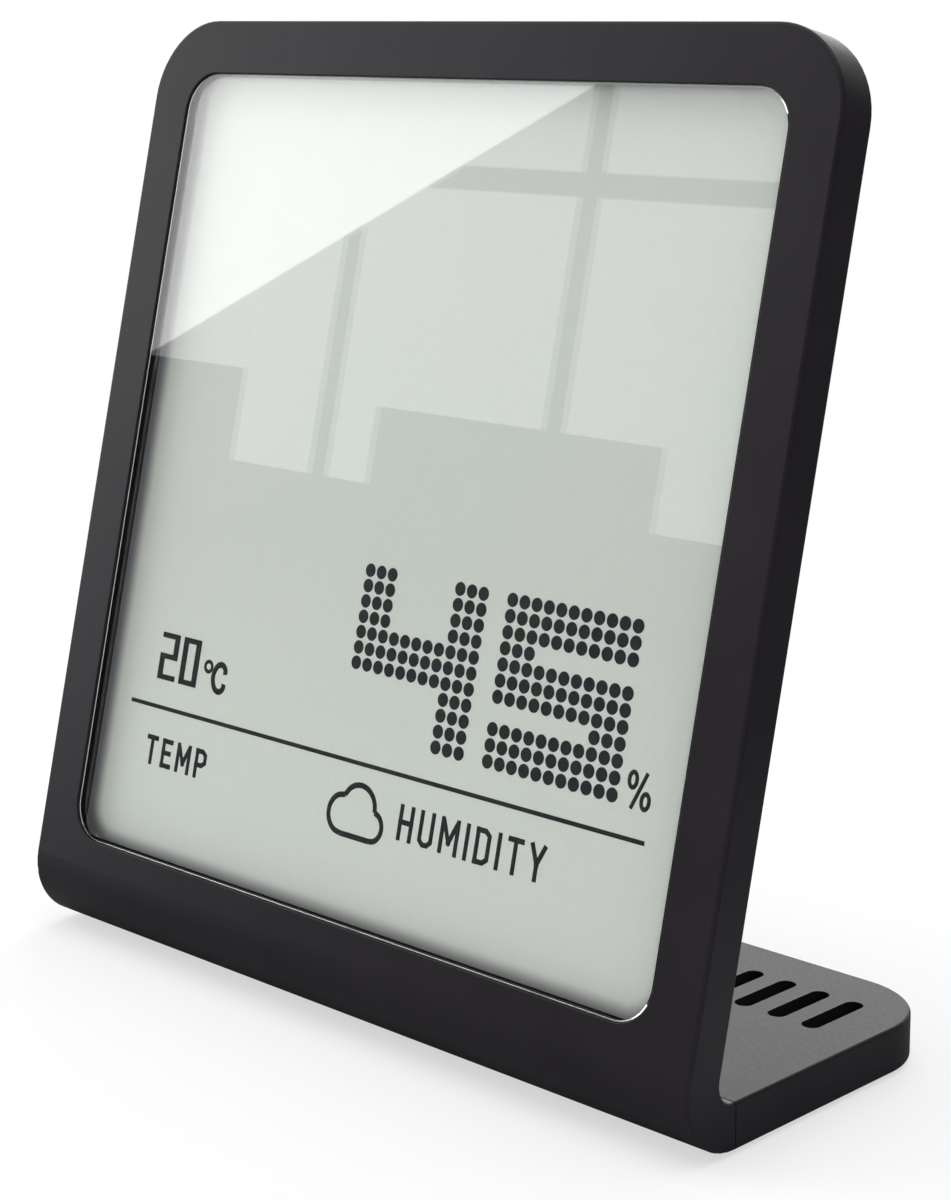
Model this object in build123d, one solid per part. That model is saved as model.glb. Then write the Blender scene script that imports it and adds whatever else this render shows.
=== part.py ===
from build123d import *
from math import cos, radians, sin, tan
import os

# A desk hygrometer: a leaning display panel that bends at its foot into a flat stand.
# Millimetres and degrees. +X is to the right of someone facing the display, +Y is
# towards the back, +Z is up, and the origin is on the table, under the middle.

# Overall size
width = 90.0
height = 96.4
depth = 38.5
lean_angle = 13.2
plate_thickness = 4.4
bend_radius = 6.5
plate_corner_radius = 8.3
foot_corner_radius = 8.5
edge_radius = 0.35

# Window in the front face, filled by a stepped lens whose flange is glued behind the lip
window_side_margin = 5.4
window_top_margin = 5.6
window_bottom_margin = 2.85
window_corner_radius = 4.0
window_edge_radius = 0.12
lip_thickness = 0.45
lens_recess = 0.2
lens_gap = 0.1
lens_flange_thickness = 0.8
lens_lap = 0.9
lens_clearance = 0.1
lens_bevel = 0.1
tape_thickness = 0.15
tape_inset = 0.1

# Cavity behind the window
cavity_side_wall = 4.0
cavity_top_wall = 2.9
cavity_bottom_wall = 1.8
cavity_corner_radius = 2.4
rebate_width = 0.7
rebate_depth = 0.55
rebate_corner_radius = 4.5
fit_clearance = 0.15

# Liquid crystal display, counted from the front
polariser_thickness = 0.15
polariser_margin = 0.1
glass_thickness = 0.4
glass_corner_radius = 0.4
contact_ledge = 1.8
reflector_thickness = 0.15

# Chassis that carries the display and the circuit board
floor_thickness = 0.75
floor_inset = 0.05
rim_thickness = 0.8
rib_height = 0.6
rib_thickness = 0.8
rib_shares_across = (-0.6, -0.2, 0.2, 0.6)
rib_shares_up = (0.25, 0.5, 0.75)
board_gap = 0.75
board_post_radius = 2.0
housing_post_radius = 2.2
snap_length = 6.0
snap_height = 0.8
snap_reach = 0.4
strip_width = 1.2
strip_side_inset = 4.6
strip_corner_radius = 0.2

# Circuit board and what is soldered to it
board_thickness = 0.8
board_side_margin = 11.0
board_low = 8.0
board_corner_radius = 1.5
board_head_height = 5.2
board_head_side_margin = 8.0
chip_side = 9.0
chip_height = 1.1
chip_corner_radius = 0.3
chip_standoff = 0.1
chip_pins_per_side = 10
chip_pin_margin = 0.5
chip_pin_width = 0.35
chip_pin_reach = 0.9
chip_pin_thickness = 0.35
crystal_radius = 0.75
crystal_length = 5.0
wire_length = 1.4
wire_thickness = 0.3
sensor_side = 3.0
sensor_height = 0.9
sensor_bevel = 0.15
sensor_port_radius = 0.5
component_length = 1.6
component_width = 0.8
component_height = 0.5
component_column_pitch = 3.2
component_row_pitch = 2.6
component_columns = 4
component_rows = 3
component_across = 14.0
component_below_button = 2.0
isolation_slot_width = 1.0
isolation_slot_offset = 3.6

# Small screws: head radius, head height, shank radius and length under the head
board_screw = (1.4, 0.7, 0.6, 1.8)
housing_screw = (1.6, 0.9, 0.7, 3.0)
foot_screw = (1.8, 0.8, 0.8, 2.7)
screw_clearance = 0.05
screw_hole_clearance = 0.2
screw_tip_gap = 0.15
recess_width = 0.45
recess_depth = 0.4

# Heights on the panel as shares of the face, and distances from its edges
battery_share = 0.354
button_share = 0.664
sensor_share = 0.83
snap_shares = (0.2, 0.5, 0.8)
board_screw_side_inset = 3.5
board_screw_low_inset = 4.0
board_screw_high_inset = 16.0
housing_screw_side_inset = 5.2
housing_screw_low_inset = 8.2
housing_screw_high_inset = 10.4
chip_across = -20.0
chip_above_button = 2.0
crystal_below_chip = 9.5

# Rear housing: a raised lid that carries a round battery turret
housing_side_margin = 3.0
housing_top_margin = 2.0
housing_bottom_margin = 0.8
housing_corner_radius = 5.0
housing_wall = 1.4
housing_room = 3.2
pillar_length = 0.6
housing_draft = 8.0
housing_edge_radius = 1.0
vent_count = 9
vent_pitch = 3.0
vent_width = 1.3
vent_length = 7.0

# Battery, battery door and the bayonet that holds the door
cell_radius = 10.0
cell_height = 3.2
cell_cap_radius = 8.8
cell_cap_height = 0.3
cell_clearance = 0.4
cell_gap_to_board = 0.85
well_gap_to_board = 0.3
turret_draft_angle = 20.0
turret_wall = 1.9
turret_edge_radius = 0.7
door_radius = 14.0
door_thickness = 1.6
door_clearance = 0.2
door_cell_gap = 0.1
door_boss_height = 0.5
door_edge_radius = 0.4
ring_wall = 1.0
ring_length = 2.1
lug_count = 3
lug_reach = 1.4
lug_thickness = 0.9
lug_angle = 24.0
lug_clearance = 0.2
notch_play = 2.0
door_turn = 50.0
coin_slot_length = 14.0
coin_slot_width = 2.2
coin_slot_depth = 0.9
grip_count = 18
grip_length = 0.5

# Battery contacts
contact_thickness = 0.2
contact_width = 4.0
contact_pad_length = 5.0
negative_top_length = 3.0

# Button that changes the unit, and the switch under it
button_radius = 3.3
button_clearance = 0.1
button_proud = 0.5
button_travel = 0.6
button_flange = 0.8
button_flange_thickness = 0.5
button_wall = 0.5
button_roof = 1.2
button_dish_radius = 14.0
button_dish_depth = 0.2
switch_width = 4.2
switch_depth = 3.2
switch_height = 1.0
switch_corner_radius = 0.3
plunger_radius = 1.0
plunger_length = 0.75
plunger_floor = 0.1
plunger_end_gap = 0.05
stem_radius = 1.0

# Foot, its tongue joint and its rubber pads
seam_gap = 0.12
foot_wall = 1.5
foot_skin = 1.4
foot_rib_thickness = 1.0
foot_rib_count = 7
tongue_width = 54.0
tongue_length = 12.0
tongue_thickness = 1.3
tongue_lift = 1.0
tongue_clearance = 0.1
foot_screw_across = 20.0
foot_screw_back = 7.0
foot_boss_radius = 2.6
pad_radius = 3.5
pad_thickness = 1.0
pad_proud = 0.4
pad_clearance = 0.1
pad_seat_wall = 1.0
pad_side_inset = 7.0
pad_front_inset = 5.0
pad_back_inset = 7.0
pad_edge_radius = 0.2
row_slot_count = 21
row_slot_pitch = 3.9
row_slot_width = 1.9
row_slot_length = 8.4
row_slot_from_back = 9.8
row_slot_depth = 2.6

# How far a cut runs past the face it opens, and how near two measures count as equal
cut_over = 1.0
near = 0.01

# Where the leaning face starts and how long it is
lean = radians(lean_angle)
foot_bottom = pad_proud
seam_y = -depth / 2 + bend_radius
foot_front = seam_y + seam_gap
bend_centre = Vector(0, seam_y, foot_bottom + bend_radius)
upward = Vector(0, sin(lean), cos(lean))
inward = Vector(0, cos(lean), -sin(lean))
face_start = bend_centre - inward * bend_radius
face_length = (height - face_start.Z) / upward.Z
panel = Plane(origin=face_start, x_dir=(1, 0, 0), z_dir=-inward)

# Depths behind the front face, from the back of the plate forwards
floor_back = plate_thickness - floor_inset
floor_front = floor_back - floor_thickness
rear_glass_back = floor_front - reflector_thickness
front_glass_back = rear_glass_back - glass_thickness
front_glass_front = front_glass_back - glass_thickness
display_front = front_glass_front - polariser_thickness
flange_front = lip_thickness + tape_thickness
lens_back = flange_front + lens_flange_thickness

# Depths behind the front face, from the back of the plate to the rear
board_front = floor_back + board_gap
board_back = board_front + board_thickness
housing_inside = plate_thickness + housing_room
lid_back = housing_inside + housing_wall
cell_front = board_back + cell_gap_to_board
cell_back = cell_front + cell_height
door_front = cell_back + door_cell_gap + door_boss_height
door_back = door_front + door_thickness
ring_front = door_front - ring_length
lug_back = ring_front + lug_thickness
plunger_front = board_back + plunger_floor + plunger_end_gap + button_travel
plunger_back = plunger_front + plunger_length

# Radii round the battery, from the cell outwards
well_radius = cell_radius + cell_clearance
ring_radius = well_radius + ring_wall
lug_radius = ring_radius + lug_reach
bore_radius = ring_radius + door_clearance
groove_radius = lug_radius + lug_clearance
seat_radius = door_radius + door_clearance
turret_radius = seat_radius + turret_wall

# Outlines on the panel: half width, low edge and high edge
window = (width / 2 - window_side_margin, window_bottom_margin, face_length - window_top_margin)
cavity = (width / 2 - cavity_side_wall, cavity_bottom_wall, face_length - cavity_top_wall)
lid = (width / 2 - housing_side_margin, housing_bottom_margin, face_length - housing_top_margin)
board_half_width = width / 2 - board_side_margin
board_head_half_width = width / 2 - board_head_side_margin

# Places on the panel: across from the middle, and up from the start of the bend
battery_place = (0, battery_share * face_length)
button_place = (0, button_share * face_length)
sensor_place = (0, sensor_share * face_length)
chip_place = (chip_across, button_place[1] + chip_above_button)
crystal_place = (chip_across, chip_place[1] - crystal_below_chip)
snap_places = [share * face_length for share in snap_shares]


def grown(box, by):
    """The same outline with every edge moved outwards."""
    half, low, high = box
    return (half + by, low - by, high + by)


def outline(box, radius):
    """A rounded rectangle on the panel."""
    half, low, high = box
    return Pos(0, (low + high) / 2) * RectangleRounded(2 * half, high - low, radius)


def slab(sketch, front, back, taper=0.0):
    """Material between two depths behind the front face."""
    return extrude(Pos(0, 0, -front) * sketch, amount=front - back, taper=taper)


def disc(radius, front, back, place=(0.0, 0.0)):
    """A round of material between two depths behind the front face."""
    return slab(Pos(*place) * Circle(radius), front, back)


def corner_places(box, side_inset, low_inset, high_inset):
    """Four places inside an outline on the panel, left and right, low and high."""
    half, low, high = box
    across = half - side_inset
    return [(x, s) for s in (low + low_inset, high - high_inset) for x in (-across, across)]


glass = grown(cavity, -2 * fit_clearance - rim_thickness)
rear_glass = (glass[0], glass[1], glass[2] - contact_ledge)
strip_middle = (glass[2] + rear_glass[2]) / 2
board = (board_half_width, board_low, glass[2])
board_screw_places = corner_places(
    board, board_screw_side_inset, board_screw_low_inset, board_screw_high_inset
)
housing_screw_places = corner_places(
    lid, housing_screw_side_inset, housing_screw_low_inset, housing_screw_high_inset
)
foot_screw_places = [(x, seam_y + foot_screw_back) for x in (-foot_screw_across, 0, foot_screw_across)]
pad_places = [
    (x, y)
    for y in (seam_y + pad_front_inset, depth / 2 - pad_back_inset)
    for x in (pad_side_inset - width / 2, width / 2 - pad_side_inset)
]


def screw(sizes):
    """A pan head screw that points up, with the underside of its head at zero."""
    head_radius, head_height, shank_radius, length = sizes
    head = Pos(0, 0, -head_height / 2) * Cylinder(head_radius, head_height)
    head = fillet(head.edges().sort_by(Axis.Z)[0], head_height / 2)
    shank = Pos(0, 0, length / 2) * Cylinder(shank_radius, length)
    shank = chamfer(shank.edges().sort_by(Axis.Z)[-1], shank_radius / 2)
    slot = Box(1.2 * head_radius, recess_width, 2 * recess_depth)
    cross = Pos(0, 0, -head_height) * (slot + Rot(0, 0, 90) * slot)
    return head + shank - cross


def side_profile():
    """The plate and its bend seen from the side, ending at the seam with the foot."""
    down = Vector(0, 0, -1)
    middle = (down - inward).normalized()
    inner_radius = bend_radius - plate_thickness
    top_front = face_start + upward * face_length
    top_back = top_front + inward * plate_thickness
    outer = ThreePointArc(
        face_start, bend_centre + middle * bend_radius, bend_centre + down * bend_radius
    )
    seam = Line(outer @ 1, bend_centre + down * inner_radius)
    inner = ThreePointArc(
        seam @ 1, bend_centre + middle * inner_radius, bend_centre - inward * inner_radius
    )
    lines = [Line(top_front, face_start), outer, seam, inner]
    lines += [Line(inner @ 1, top_back), Line(top_back, top_front)]
    return make_face(lines)


def is_outer_edge(edge):
    """True on the edges round the front and back faces, away from smooth joins."""
    middle = edge.position_at(0.5)
    along = edge.tangent_at(0.5)
    on_side = abs(abs(middle.X) - width / 2) < near
    near_top = (middle - face_start).dot(upward) > face_length - plate_corner_radius
    through = abs(along.dot(inward)) > 1 - near
    at_seam = abs(middle.Y - seam_y) < near
    return (on_side or near_top) and not through and not at_seam


def is_window_edge(edge):
    """True on the front edges of the window's opening."""
    place = edge.position_at(0.5) - face_start
    half, low, high = grown(window, near)
    inside = abs(place.X) < half and low < place.dot(upward) < high
    return inside and abs(place.dot(inward)) < near


def front_frame():
    """Plate with its window, bent at the bottom, and a tongue for the foot."""
    body = extrude(side_profile(), amount=width / 2, both=True)
    corners = [
        edge
        for edge in body.edges()
        if abs(edge.tangent_at(0.5).dot(inward)) > 1 - near and edge.center().Z > height / 2
    ]
    body = fillet(corners, plate_corner_radius)
    body = fillet([edge for edge in body.edges() if is_outer_edge(edge)], edge_radius)
    cuts = slab(outline(window, window_corner_radius), -cut_over, plate_thickness)
    cuts += slab(grown_window(lens_lap + lens_clearance), lip_thickness, plate_thickness)
    cuts += slab(outline(cavity, cavity_corner_radius), display_front, plate_thickness + cut_over)
    cuts += slab(
        outline(grown(cavity, rebate_width), rebate_corner_radius),
        plate_thickness - rebate_depth,
        plate_thickness + cut_over,
    )
    cuts += snaps(snap_reach + fit_clearance, fit_clearance)
    body -= panel.location * cuts
    body = fillet([edge for edge in body.edges() if is_window_edge(edge)], window_edge_radius)
    tongue = Pos(0, seam_y + tongue_length / 2, tongue_middle()) * Box(
        tongue_width, tongue_length, tongue_thickness
    )
    tongue = fillet(tongue.edges().filter_by(Axis.Z).sort_by(Axis.Y)[2:], 2 * tongue_thickness)
    for x, y in foot_screw_places:
        tongue -= Pos(x, y, tongue_middle()) * Cylinder(
            foot_screw[2] + screw_hole_clearance, 2 * tongue_thickness
        )
    return body + tongue


def tongue_middle():
    """Height of the middle of the tongue."""
    return foot_bottom + tongue_lift + tongue_thickness / 2


def snaps(reach, play):
    """Six small lugs on the chassis sides, or with play the pockets that take them."""
    half = cavity[0] - fit_clearance
    middle = (front_glass_front + floor_front) / 2
    size = (2 * reach, snap_length + 2 * play, snap_height + 2 * play)
    lugs = Part()
    for s in snap_places:
        for x in (-half, half):
            lugs += Pos(x, s, -middle) * Box(*size)
    return lugs


def grown_window(by):
    """The window's outline with its edges and corners moved outwards."""
    return outline(grown(window, by), window_corner_radius + by)


def display_lens():
    """Clear window with a raised middle that fills the opening and a flange behind the lip."""
    middle = slab(grown_window(-lens_gap), lens_recess, lens_back)
    middle = chamfer(middle.edges().group_by(Axis.Z)[-1], lens_bevel)
    return panel.location * (middle + slab(grown_window(lens_lap), flange_front, lens_back))


def lens_tape():
    """Frame of thin adhesive between the flange of the lens and the lip of the window."""
    ring = grown_window(lens_lap - tape_inset) - grown_window(tape_inset)
    return panel.location * slab(ring, lip_thickness, flange_front)


def display_layers():
    """Front polariser, two glasses with a contact ledge, and the rear reflector."""
    film = grown(glass, -polariser_margin)
    mirror = grown(rear_glass, -polariser_margin)
    return {
        "front_polariser": slab(
            outline(film, glass_corner_radius), display_front, front_glass_front
        ),
        "lcd_front_glass": slab(
            outline(glass, glass_corner_radius), front_glass_front, front_glass_back
        ),
        "lcd_rear_glass": slab(
            outline(rear_glass, glass_corner_radius), front_glass_back, rear_glass_back
        ),
        "rear_reflector": slab(
            outline(mirror, glass_corner_radius), rear_glass_back, floor_front
        ),
    }


def contact_strip_box(play):
    """Half width, low edge and high edge of the strip, or of the slot round it."""
    half = glass[0] - strip_side_inset
    reach = strip_width / 2
    return grown((half, strip_middle - reach, strip_middle + reach), play)


def display_chassis():
    """Tray round the display, with posts for the board and for the rear housing."""
    outer = grown(cavity, -fit_clearance)
    inner = grown(outer, -rim_thickness)
    corner = cavity_corner_radius - fit_clearance
    body = slab(outline(outer, corner), display_front + floor_inset, floor_back)
    body -= slab(outline(inner, glass_corner_radius + fit_clearance), 0, floor_front)
    body += snaps(snap_reach, 0)
    body += chassis_ribs()
    for place in board_screw_places:
        body += disc(board_post_radius, floor_front, board_front, place)
    for place in housing_screw_places:
        body += disc(housing_post_radius, floor_front, housing_post_back(), place)
    slot = contact_strip_box(fit_clearance)
    body -= slab(outline(slot, strip_corner_radius + fit_clearance), floor_front, floor_back)
    for place in board_screw_places:
        tip = board_back - board_screw[3] - screw_tip_gap
        body -= disc(board_screw[2] + screw_clearance, tip, board_front, place)
    for place in housing_screw_places:
        tip = housing_screw_seat() - housing_screw[3] - screw_tip_gap
        body -= disc(housing_screw[2] + screw_clearance, tip, housing_post_back(), place)
    return panel.location * body


def housing_post_back():
    """Depth at which the chassis posts meet the pillars of the housing."""
    return housing_inside - pillar_length


def housing_screw_seat():
    """Depth of the shoulder under the heads of the housing screws."""
    return housing_post_back() + housing_screw[1]


def chassis_ribs():
    """Low ribs that stiffen the back of the chassis under the board."""
    half, low, high = grown(cavity, -fit_clearance - rim_thickness)
    top = contact_strip_box(2 * fit_clearance)[1]
    bars = Part()
    for share in rib_shares_across:
        bar = Rectangle(rib_thickness, top - low)
        bars += slab(Pos(share * half, (top + low) / 2) * bar, floor_front, floor_back + rib_height)
    for share in rib_shares_up:
        bar = Rectangle(2 * half, rib_thickness)
        bars += slab(Pos(0, low + share * (high - low)) * bar, floor_front, floor_back + rib_height)
    return bars


def contact_strip():
    """Rubber strip that joins the display's contact ledge to the board."""
    shape = outline(contact_strip_box(0), strip_corner_radius)
    return panel.location * slab(shape, front_glass_back, board_front)


def board_outline():
    """Board with a wider head over the contact strip."""
    head = (board_head_half_width, board[2] - board_head_height, board[2])
    return outline(board, board_corner_radius) + outline(head, board_corner_radius)


def circuit_board():
    """Board with screw holes and a slot that keeps its heat away from the sensor."""
    body = slab(board_outline(), board_front, board_back)
    for place in board_screw_places:
        body -= disc(board_screw[2] + screw_hole_clearance, 0, board_back, place)
    x, s = sensor_place
    for side in (-1, 1):
        slot = SlotOverall(2 * isolation_slot_offset, isolation_slot_width, rotation=90)
        body -= slab(Pos(x + side * isolation_slot_offset, s) * slot, board_front, board_back)
    low_slot = SlotOverall(2 * isolation_slot_offset + isolation_slot_width, isolation_slot_width)
    body -= slab(Pos(x, s - isolation_slot_offset) * low_slot, board_front, board_back)
    return panel.location * body


def controller_chip():
    """Square chip with a row of pins on each side."""
    case = RectangleRounded(chip_side, chip_side, chip_corner_radius)
    body = slab(case, board_back + chip_standoff, board_back + chip_height)
    pitch = (chip_side - 2 * chip_pin_margin) / chip_pins_per_side
    pin_length = 2 * chip_pin_reach
    for turn in range(4):
        for number in range(chip_pins_per_side):
            across = (number - (chip_pins_per_side - 1) / 2) * pitch
            pin = Pos(across, chip_side / 2) * Rectangle(chip_pin_width, pin_length)
            body += slab(Rot(0, 0, 90 * turn) * pin, board_back, board_back + chip_pin_thickness)
    return panel.location * (Pos(*chip_place) * body)


def quartz_crystal():
    """Small round can that lies on the board, with its two bent wires."""
    can = Cylinder(crystal_radius, crystal_length, rotation=(0, 90, 0))
    can = fillet(can.edges(), crystal_radius / 4)
    leg_length = crystal_radius + wire_thickness / 2
    for side in (-1, 1):
        across = (crystal_length + wire_length) / 2
        wire = Box(wire_length, wire_thickness, wire_thickness)
        leg = Pos(wire_length / 2, 0, (crystal_radius - wire_thickness / 2) / 2) * Box(
            wire_thickness, wire_thickness, leg_length
        )
        can += Pos(across, side * crystal_radius / 2) * (wire + leg)
    middle = board_back + crystal_radius
    return panel.location * (Pos(*crystal_place, -middle) * can)


def humidity_sensor():
    """Flat sensor with a port in its lid."""
    body = slab(Rectangle(sensor_side, sensor_side), board_back, board_back + sensor_height)
    body = chamfer(body.edges().group_by(Axis.Z)[0], sensor_bevel)
    port_floor = board_back + sensor_height / 2
    body -= disc(sensor_port_radius, port_floor, board_back + sensor_height + cut_over)
    return panel.location * (Pos(*sensor_place) * body)


def chip_components():
    """Rows of small resistors and capacitors, each a low block."""
    block = Rectangle(component_length, component_width)
    first_row = button_place[1] - component_below_button
    parts = Part()
    for column in range(component_columns):
        for row in range(component_rows):
            x = component_across + column * component_column_pitch
            place = Pos(x, first_row + row * component_row_pitch)
            parts += slab(place * block, board_back, board_back + component_height)
    return panel.location * parts


def tact_switch():
    """Body of the switch under the button, with a bore for its plunger."""
    shape = RectangleRounded(switch_width, switch_depth, switch_corner_radius)
    body = slab(shape, board_back, board_back + switch_height)
    bore = plunger_radius + button_clearance
    body -= disc(bore, board_back + plunger_floor, board_back + switch_height)
    return panel.location * (Pos(*button_place) * body)


def switch_plunger():
    """Plunger that the button pushes into the switch."""
    return panel.location * disc(plunger_radius, plunger_front, plunger_back, button_place)


def unit_button():
    """Round push button: a hollow cap with a flange, a stem and a dished top."""
    top = lid_back + button_proud
    roof = top - button_roof
    body = disc(button_radius, housing_inside - button_flange_thickness, top)
    body = fillet(body.edges().group_by(Axis.Z)[0], button_dish_depth)
    flange = button_radius + button_flange
    body += disc(flange, housing_inside - button_flange_thickness, housing_inside)
    body -= disc(button_radius - button_wall, 0, roof)
    body += disc(stem_radius, plunger_back, roof)
    dish = Pos(0, 0, -top - button_dish_radius + button_dish_depth) * Sphere(button_dish_radius)
    return panel.location * (Pos(*button_place) * (body - dish))


def coin_cell():
    """Lithium coin cell with its smaller negative cap towards the board."""
    cap = disc(cell_cap_radius, cell_front, cell_front + cell_cap_height)
    can = disc(cell_radius, cell_front + cell_cap_height, cell_back)
    can = fillet(can.edges(), cell_cap_height)
    return panel.location * (Pos(*battery_place) * (cap + can))


def sector(inner, outer, start, sweep):
    """A piece of a ring, from a start angle."""
    outside = CenterArc((0, 0), outer, start, sweep)
    inside = CenterArc((0, 0), inner, start, sweep)
    sides = [Line(inside @ 0, outside @ 0), Line(inside @ 1, outside @ 1)]
    return make_face([outside, inside, *sides])


def lug_starts():
    """Start angle of each bayonet lug when the door is locked."""
    return [90 - lug_angle / 2 + 360 * number / lug_count for number in range(lug_count)]


def battery_contact_positive():
    """Strip that stands beside the cell and presses on its can."""
    x = cell_radius + door_clearance / 2
    pad = slab(
        Pos(x + contact_pad_length / 2, 0) * Rectangle(contact_pad_length, contact_width),
        board_back,
        board_back + contact_thickness,
    )
    blade = slab(
        Pos(x + contact_thickness / 2, 0) * Rectangle(contact_thickness, contact_width),
        board_back,
        ring_front - door_clearance,
    )
    return panel.location * (Pos(*battery_place) * (pad + blade))


def battery_contact_negative():
    """Spring tongue that rises from the board to the middle of the cell."""
    low = board_back + contact_thickness
    top = cell_front
    run = contact_pad_length
    reach = negative_top_length
    line = [(-run, low), (0, low), (reach / 2, top), (reach * 1.5, top)]
    under = [(x, z - contact_thickness) for x, z in reversed(line)]
    face = make_face(Polyline([(x, 0, -z) for x, z in line + under], close=True))
    body = extrude(face, amount=contact_width / 2, both=True)
    return panel.location * (Pos(*battery_place) * body)


def battery_door():
    """Round door with a coin slot, a ring round the cell and three bayonet lugs."""
    body = disc(door_radius, door_front, door_back)
    body = fillet(body.edges().group_by(Axis.Z)[0], door_edge_radius)
    body += disc(ring_radius, ring_front, door_front) - disc(well_radius, ring_front, door_front)
    body += disc(cell_cap_radius / 2, cell_back + door_cell_gap, door_front)
    for start in lug_starts():
        lug = sector(ring_radius - ring_wall / 2, lug_radius, start, lug_angle)
        body += slab(lug, ring_front, lug_back)
    slot = SlotOverall(coin_slot_length, coin_slot_width)
    body -= slab(slot, door_back - coin_slot_depth, door_back)
    for number in range(grip_count):
        notch = Pos(door_radius, 0) * Circle(door_edge_radius)
        turn = Rot(0, 0, 360 * number / grip_count)
        body -= slab(turn * notch, door_back - grip_length, door_back)
    return panel.location * (Pos(*battery_place) * body)


def turret():
    """Raised round of the housing, turned with its cell well and door seat."""
    foot_radius = turret_radius + (door_back - lid_back) * tan(radians(turret_draft_angle))
    points = [
        (0, housing_inside),
        (foot_radius, housing_inside),
        (foot_radius, lid_back),
        (turret_radius, door_back),
        (0, door_back),
    ]
    face = make_face(Polyline([(r, 0, -z) for r, z in points], close=True))
    body = revolve(face, Axis.Z)
    body = fillet(body.edges().group_by(Axis.Z)[0], turret_edge_radius)
    well_wall = bore_radius + ring_wall
    return body + disc(well_wall, board_back + well_gap_to_board, housing_inside)


def turret_cuts():
    """Cell well, door seat, bayonet bore with its groove, and the contact's notch."""
    cuts = disc(well_radius, 0, door_back)
    cuts += disc(seat_radius, door_front, door_back + cut_over)
    cuts += disc(bore_radius, ring_front - lug_clearance, door_front)
    sweep = lug_angle + door_turn + 2 * notch_play
    entry = lug_angle + 2 * notch_play
    for start in lug_starts():
        groove = sector(well_radius, groove_radius, start - notch_play - door_turn, sweep)
        cuts += slab(groove, ring_front - lug_clearance, lug_back + lug_clearance)
        notch = sector(well_radius, groove_radius, start - notch_play - door_turn, entry)
        cuts += slab(notch, ring_front - lug_clearance, door_front)
    notch = Rectangle(2 * contact_pad_length, contact_width + 4 * fit_clearance)
    x = cell_radius + contact_pad_length
    cuts += slab(Pos(x, 0) * notch, 0, ring_front - lug_clearance)
    return cuts


def rear_housing():
    """Drafted lid with vents, screw pillars, a button hole and the battery turret."""
    shape = outline(lid, housing_corner_radius)
    body = slab(shape, plate_thickness, lid_back, housing_draft)
    body = fillet(body.edges().group_by(Axis.Z)[0], housing_edge_radius)
    room = outline(grown(lid, -housing_wall), housing_corner_radius - housing_wall)
    body -= slab(room, plate_thickness, housing_inside, housing_draft)
    body += Pos(*battery_place) * turret()
    for place in housing_screw_places:
        body += disc(housing_post_radius, housing_post_back(), housing_inside, place)
        body -= disc(housing_screw[2] + screw_hole_clearance, housing_post_back(), lid_back, place)
        head = housing_screw[0] + screw_hole_clearance
        body -= disc(head, housing_screw_seat(), lid_back + cut_over, place)
    body -= Pos(*battery_place) * turret_cuts()
    body -= disc(button_radius + button_clearance, housing_inside, lid_back, button_place)
    for number in range(vent_count):
        x = (number - (vent_count - 1) / 2) * vent_pitch
        vent = SlotOverall(vent_length, vent_width, rotation=90)
        body -= slab(Pos(sensor_place[0] + x, sensor_place[1]) * vent, housing_inside, lid_back)
    return panel.location * (body + housing_lip())


def housing_lip():
    """Four low bars that locate the housing in the rebate round the cavity."""
    half, low, high = cavity
    bar = rebate_width - 2 * fit_clearance
    inset = rebate_corner_radius
    top = plate_thickness - rebate_depth + fit_clearance
    lip = Part()
    for x in (-half - rebate_width / 2, half + rebate_width / 2):
        side = Pos(x, (low + high) / 2) * Rectangle(bar, high - low - 2 * inset)
        lip += slab(side, top, plate_thickness)
    for s in (low - rebate_width / 2, high + rebate_width / 2):
        side = Pos(0, s) * Rectangle(2 * half - 2 * inset, bar)
        lip += slab(side, top, plate_thickness)
    return lip


def screws_at(places, seat, sizes):
    """Screws that go in from the back of the panel, heads seated at a depth."""
    parts = Part()
    for x, s in places:
        parts += Pos(x, s, -seat) * screw(sizes)
    return panel.location * parts


def foot_outline():
    """Plan of the foot, square at the seam and rounded at the back."""
    length = depth / 2 - foot_front
    sheet = Pos(0, foot_front + length / 2) * Rectangle(width, length)
    return fillet(sheet.vertices().sort_by(Axis.Y)[2:], foot_corner_radius)


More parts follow.
